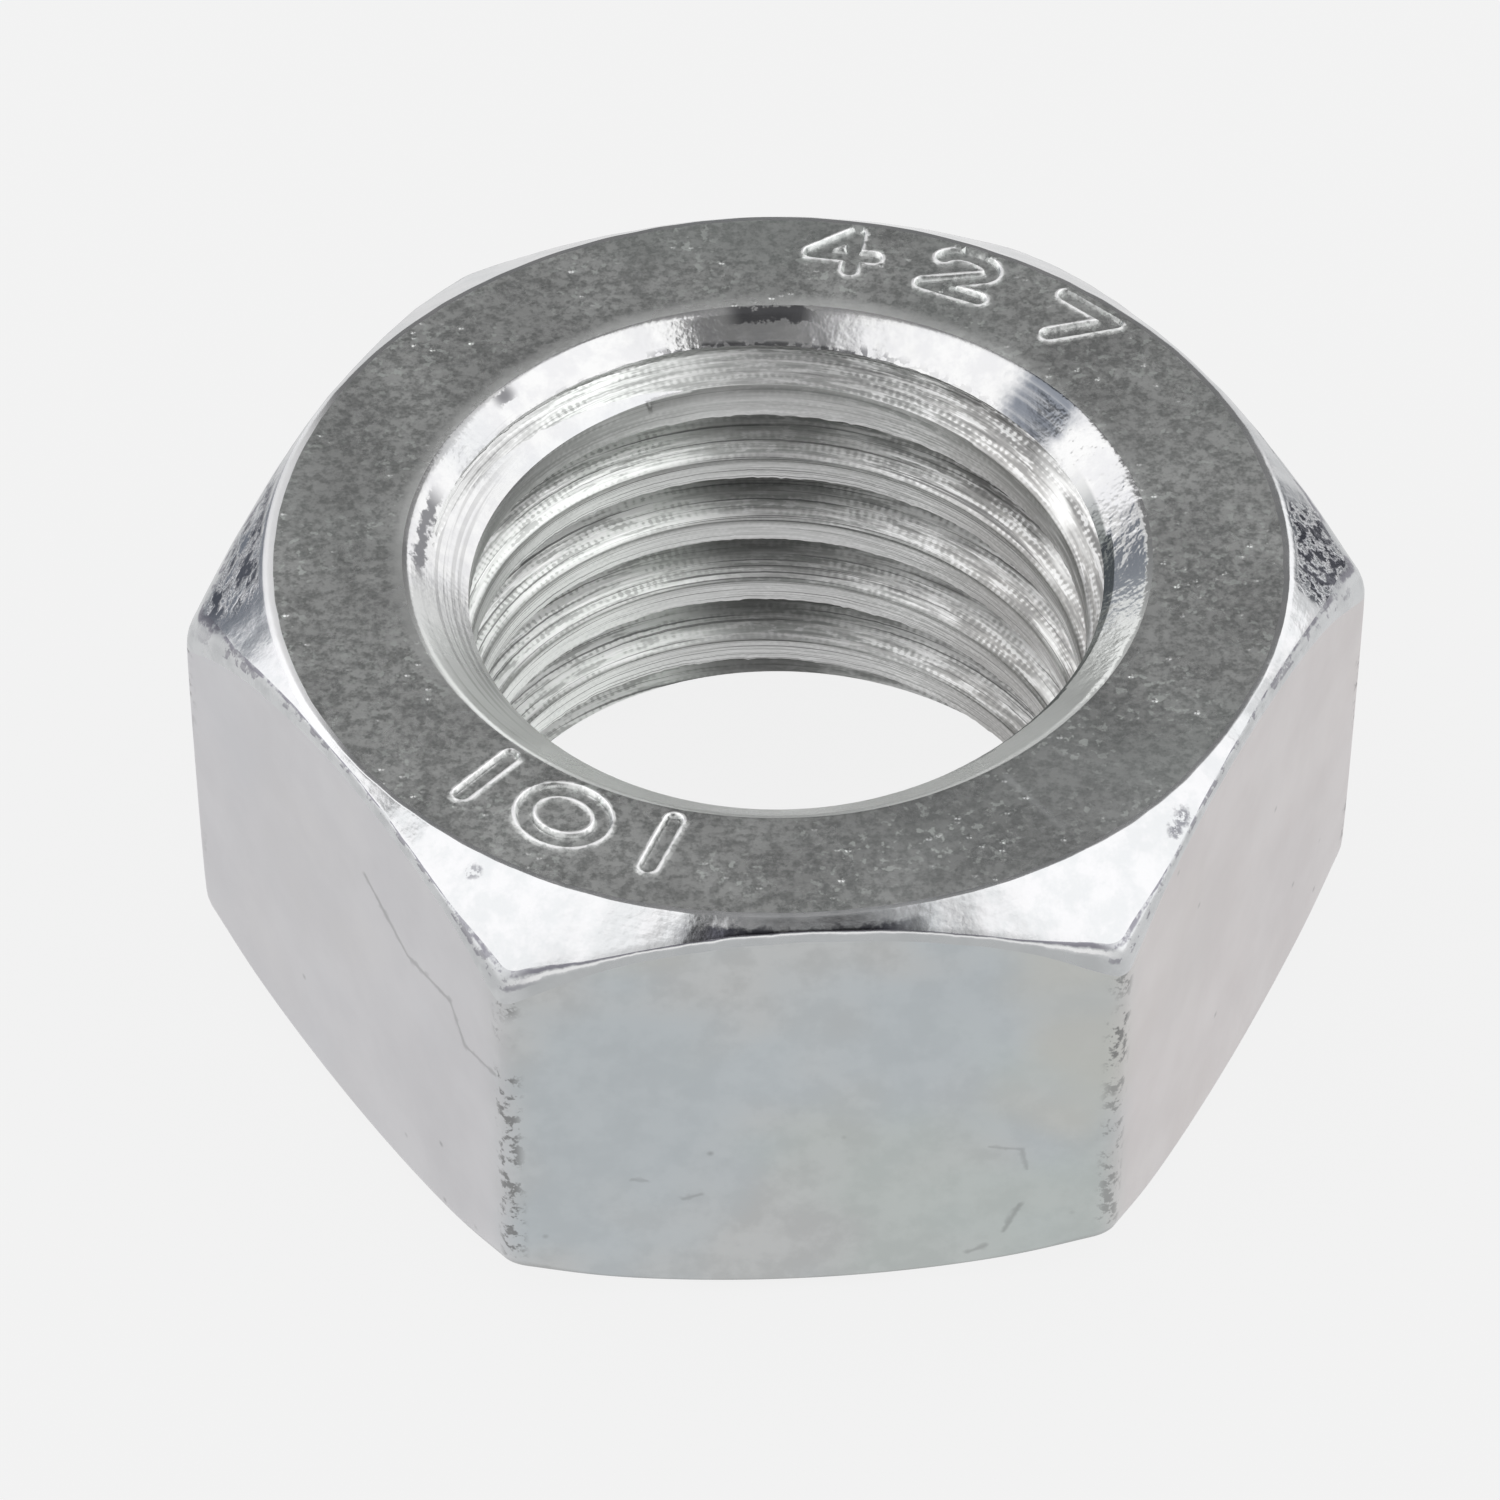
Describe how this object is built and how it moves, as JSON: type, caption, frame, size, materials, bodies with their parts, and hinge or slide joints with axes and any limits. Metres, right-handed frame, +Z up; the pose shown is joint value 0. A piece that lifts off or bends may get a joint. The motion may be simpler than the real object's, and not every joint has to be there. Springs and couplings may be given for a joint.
{
  "type": "hex nut",
  "caption": "Chamfered hexagon nut with a countersunk, right-hand threaded through hole, zinc-plated steel.",
  "frame": {"origin": "centre of the lower bearing face, on the thread axis", "axes": "+Z up along the thread axis, away from the lower bearing face; +Y square to one pair of wrench flats; +X towards a corner of the hexagon"},
  "size_m": [0.0404, 0.0352, 0.0178],
  "materials": {
    "zinc_plated_steel": "satin"
  },
  "bodies": {
    "root": {"hex_nut": "zinc_plated_steel"}
  },
  "joints": []
}
